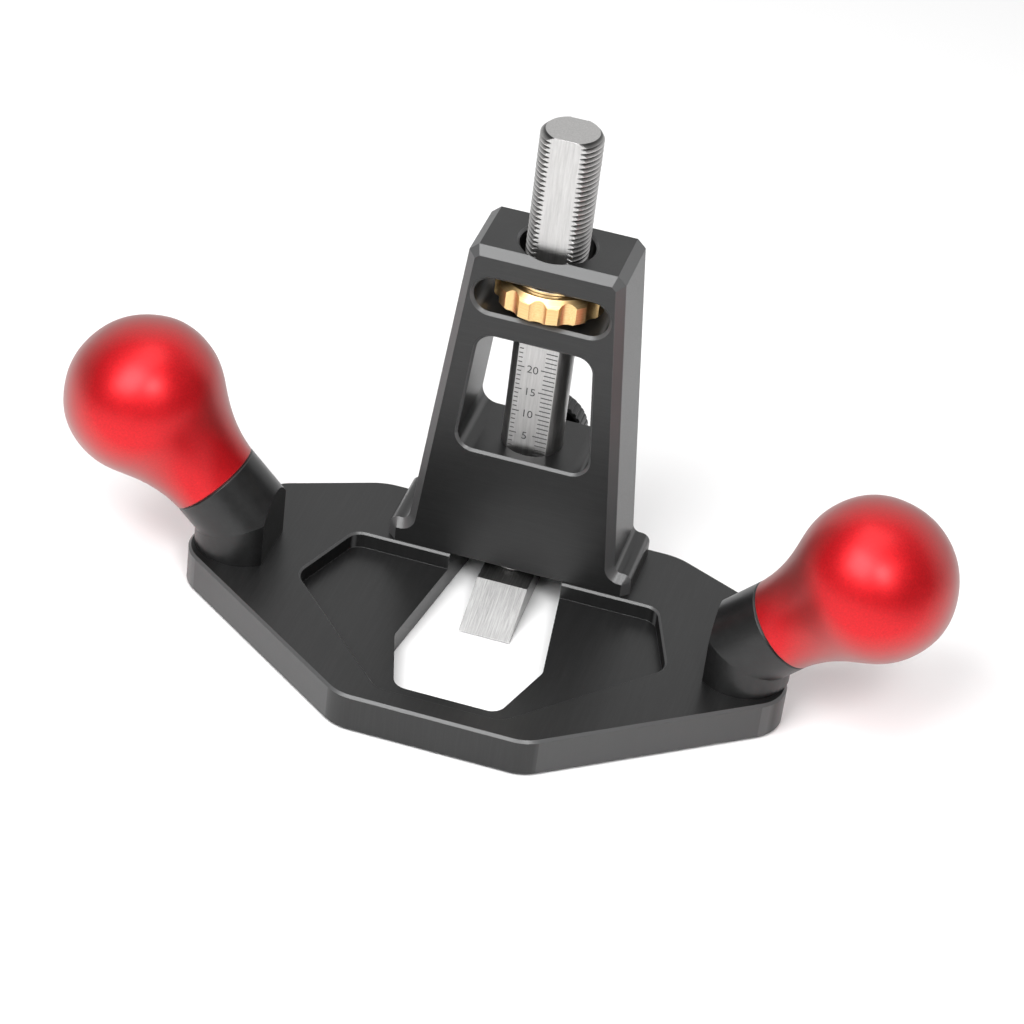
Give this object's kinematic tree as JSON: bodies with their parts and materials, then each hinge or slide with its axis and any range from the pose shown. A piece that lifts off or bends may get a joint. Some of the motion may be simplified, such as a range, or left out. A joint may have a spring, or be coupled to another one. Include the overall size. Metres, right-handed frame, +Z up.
{
  "type": "hand router plane",
  "caption": "Small hand router plane: flat metal sole with an open throat, a tower with a threaded depth post and finger nut, a forward cutter, and angled round knobs.",
  "frame": {"origin": "middle of the overall length and width, on the plane of the sole", "axes": "+X towards the right-hand knob, +Y towards the tower and its rear lock, +Z up along the depth post"},
  "size_m": [0.1742, 0.0804, 0.1014],
  "materials": {
    "black_anodised": "black anodised, finely machined, satin",
    "red_anodised": "red anodised, satin",
    "black_knob": "black anodised",
    "brass_nut": "turned, satin",
    "brass_pad": "turned",
    "post_steel": "turned and threaded, bright",
    "cutter_steel": "ground",
    "washer_steel": "ground",
    "fixing_steel": "black oxide"
  },
  "bodies": {
    "frame_body": {"boss_bolt_left": "fixing_steel", "boss_bolt_right": "fixing_steel", "boss_left": "black_anodised", "boss_right": "black_anodised", "guide_pin": "fixing_steel", "knob_left": "red_anodised", "knob_right": "red_anodised", "sole_plate": "black_anodised", "stud_left": "fixing_steel", "stud_right": "fixing_steel", "tower": "black_anodised", "tower_bolt_left": "fixing_steel", "tower_bolt_right": "fixing_steel", "tower_pin_left": "fixing_steel", "tower_pin_right": "fixing_steel", "washer_lower": "washer_steel", "washer_upper": "washer_steel"},
    "post_body": {"post": "post_steel", "cutter": "cutter_steel", "cutter_screw": "fixing_steel"},
    "nut_body": {"adjusting_nut": "brass_nut"},
    "lock_pad_body": {"lock_pad": "brass_pad"},
    "lock_knob_body": {"lock_screw": "fixing_steel", "lock_knob": "black_knob"}
  },
  "joints": [
    {"name": "post_slide", "type": "slide", "parent": "frame_body", "child": "post_body", "axis": [0, 0, 1], "range_m": [-0.022, 0.002]},
    {"name": "nut_spin", "type": "hinge", "parent": "frame_body", "child": "nut_body", "pos_m": [0, 0.0186, 0.0684], "axis": [0, 0, 1], "range_deg": [-725, 7930]},
    {"name": "lock_slide", "type": "slide", "parent": "frame_body", "child": "lock_pad_body", "axis": [0, 1, 0], "range_m": [0, 0.002]},
    {"name": "lock_spin", "type": "hinge", "parent": "lock_pad_body", "child": "lock_knob_body", "pos_m": [0, 0.03, 0.0276], "axis": [0, 1, 0], "range_deg": [0, 721]}
  ],
  "couplings": [
    {"joint": "nut_spin", "follows": "post_slide", "rad_per_m": -6283.2},
    {"joint": "lock_spin", "follows": "lock_slide", "rad_per_m": 6283.2}
  ]
}
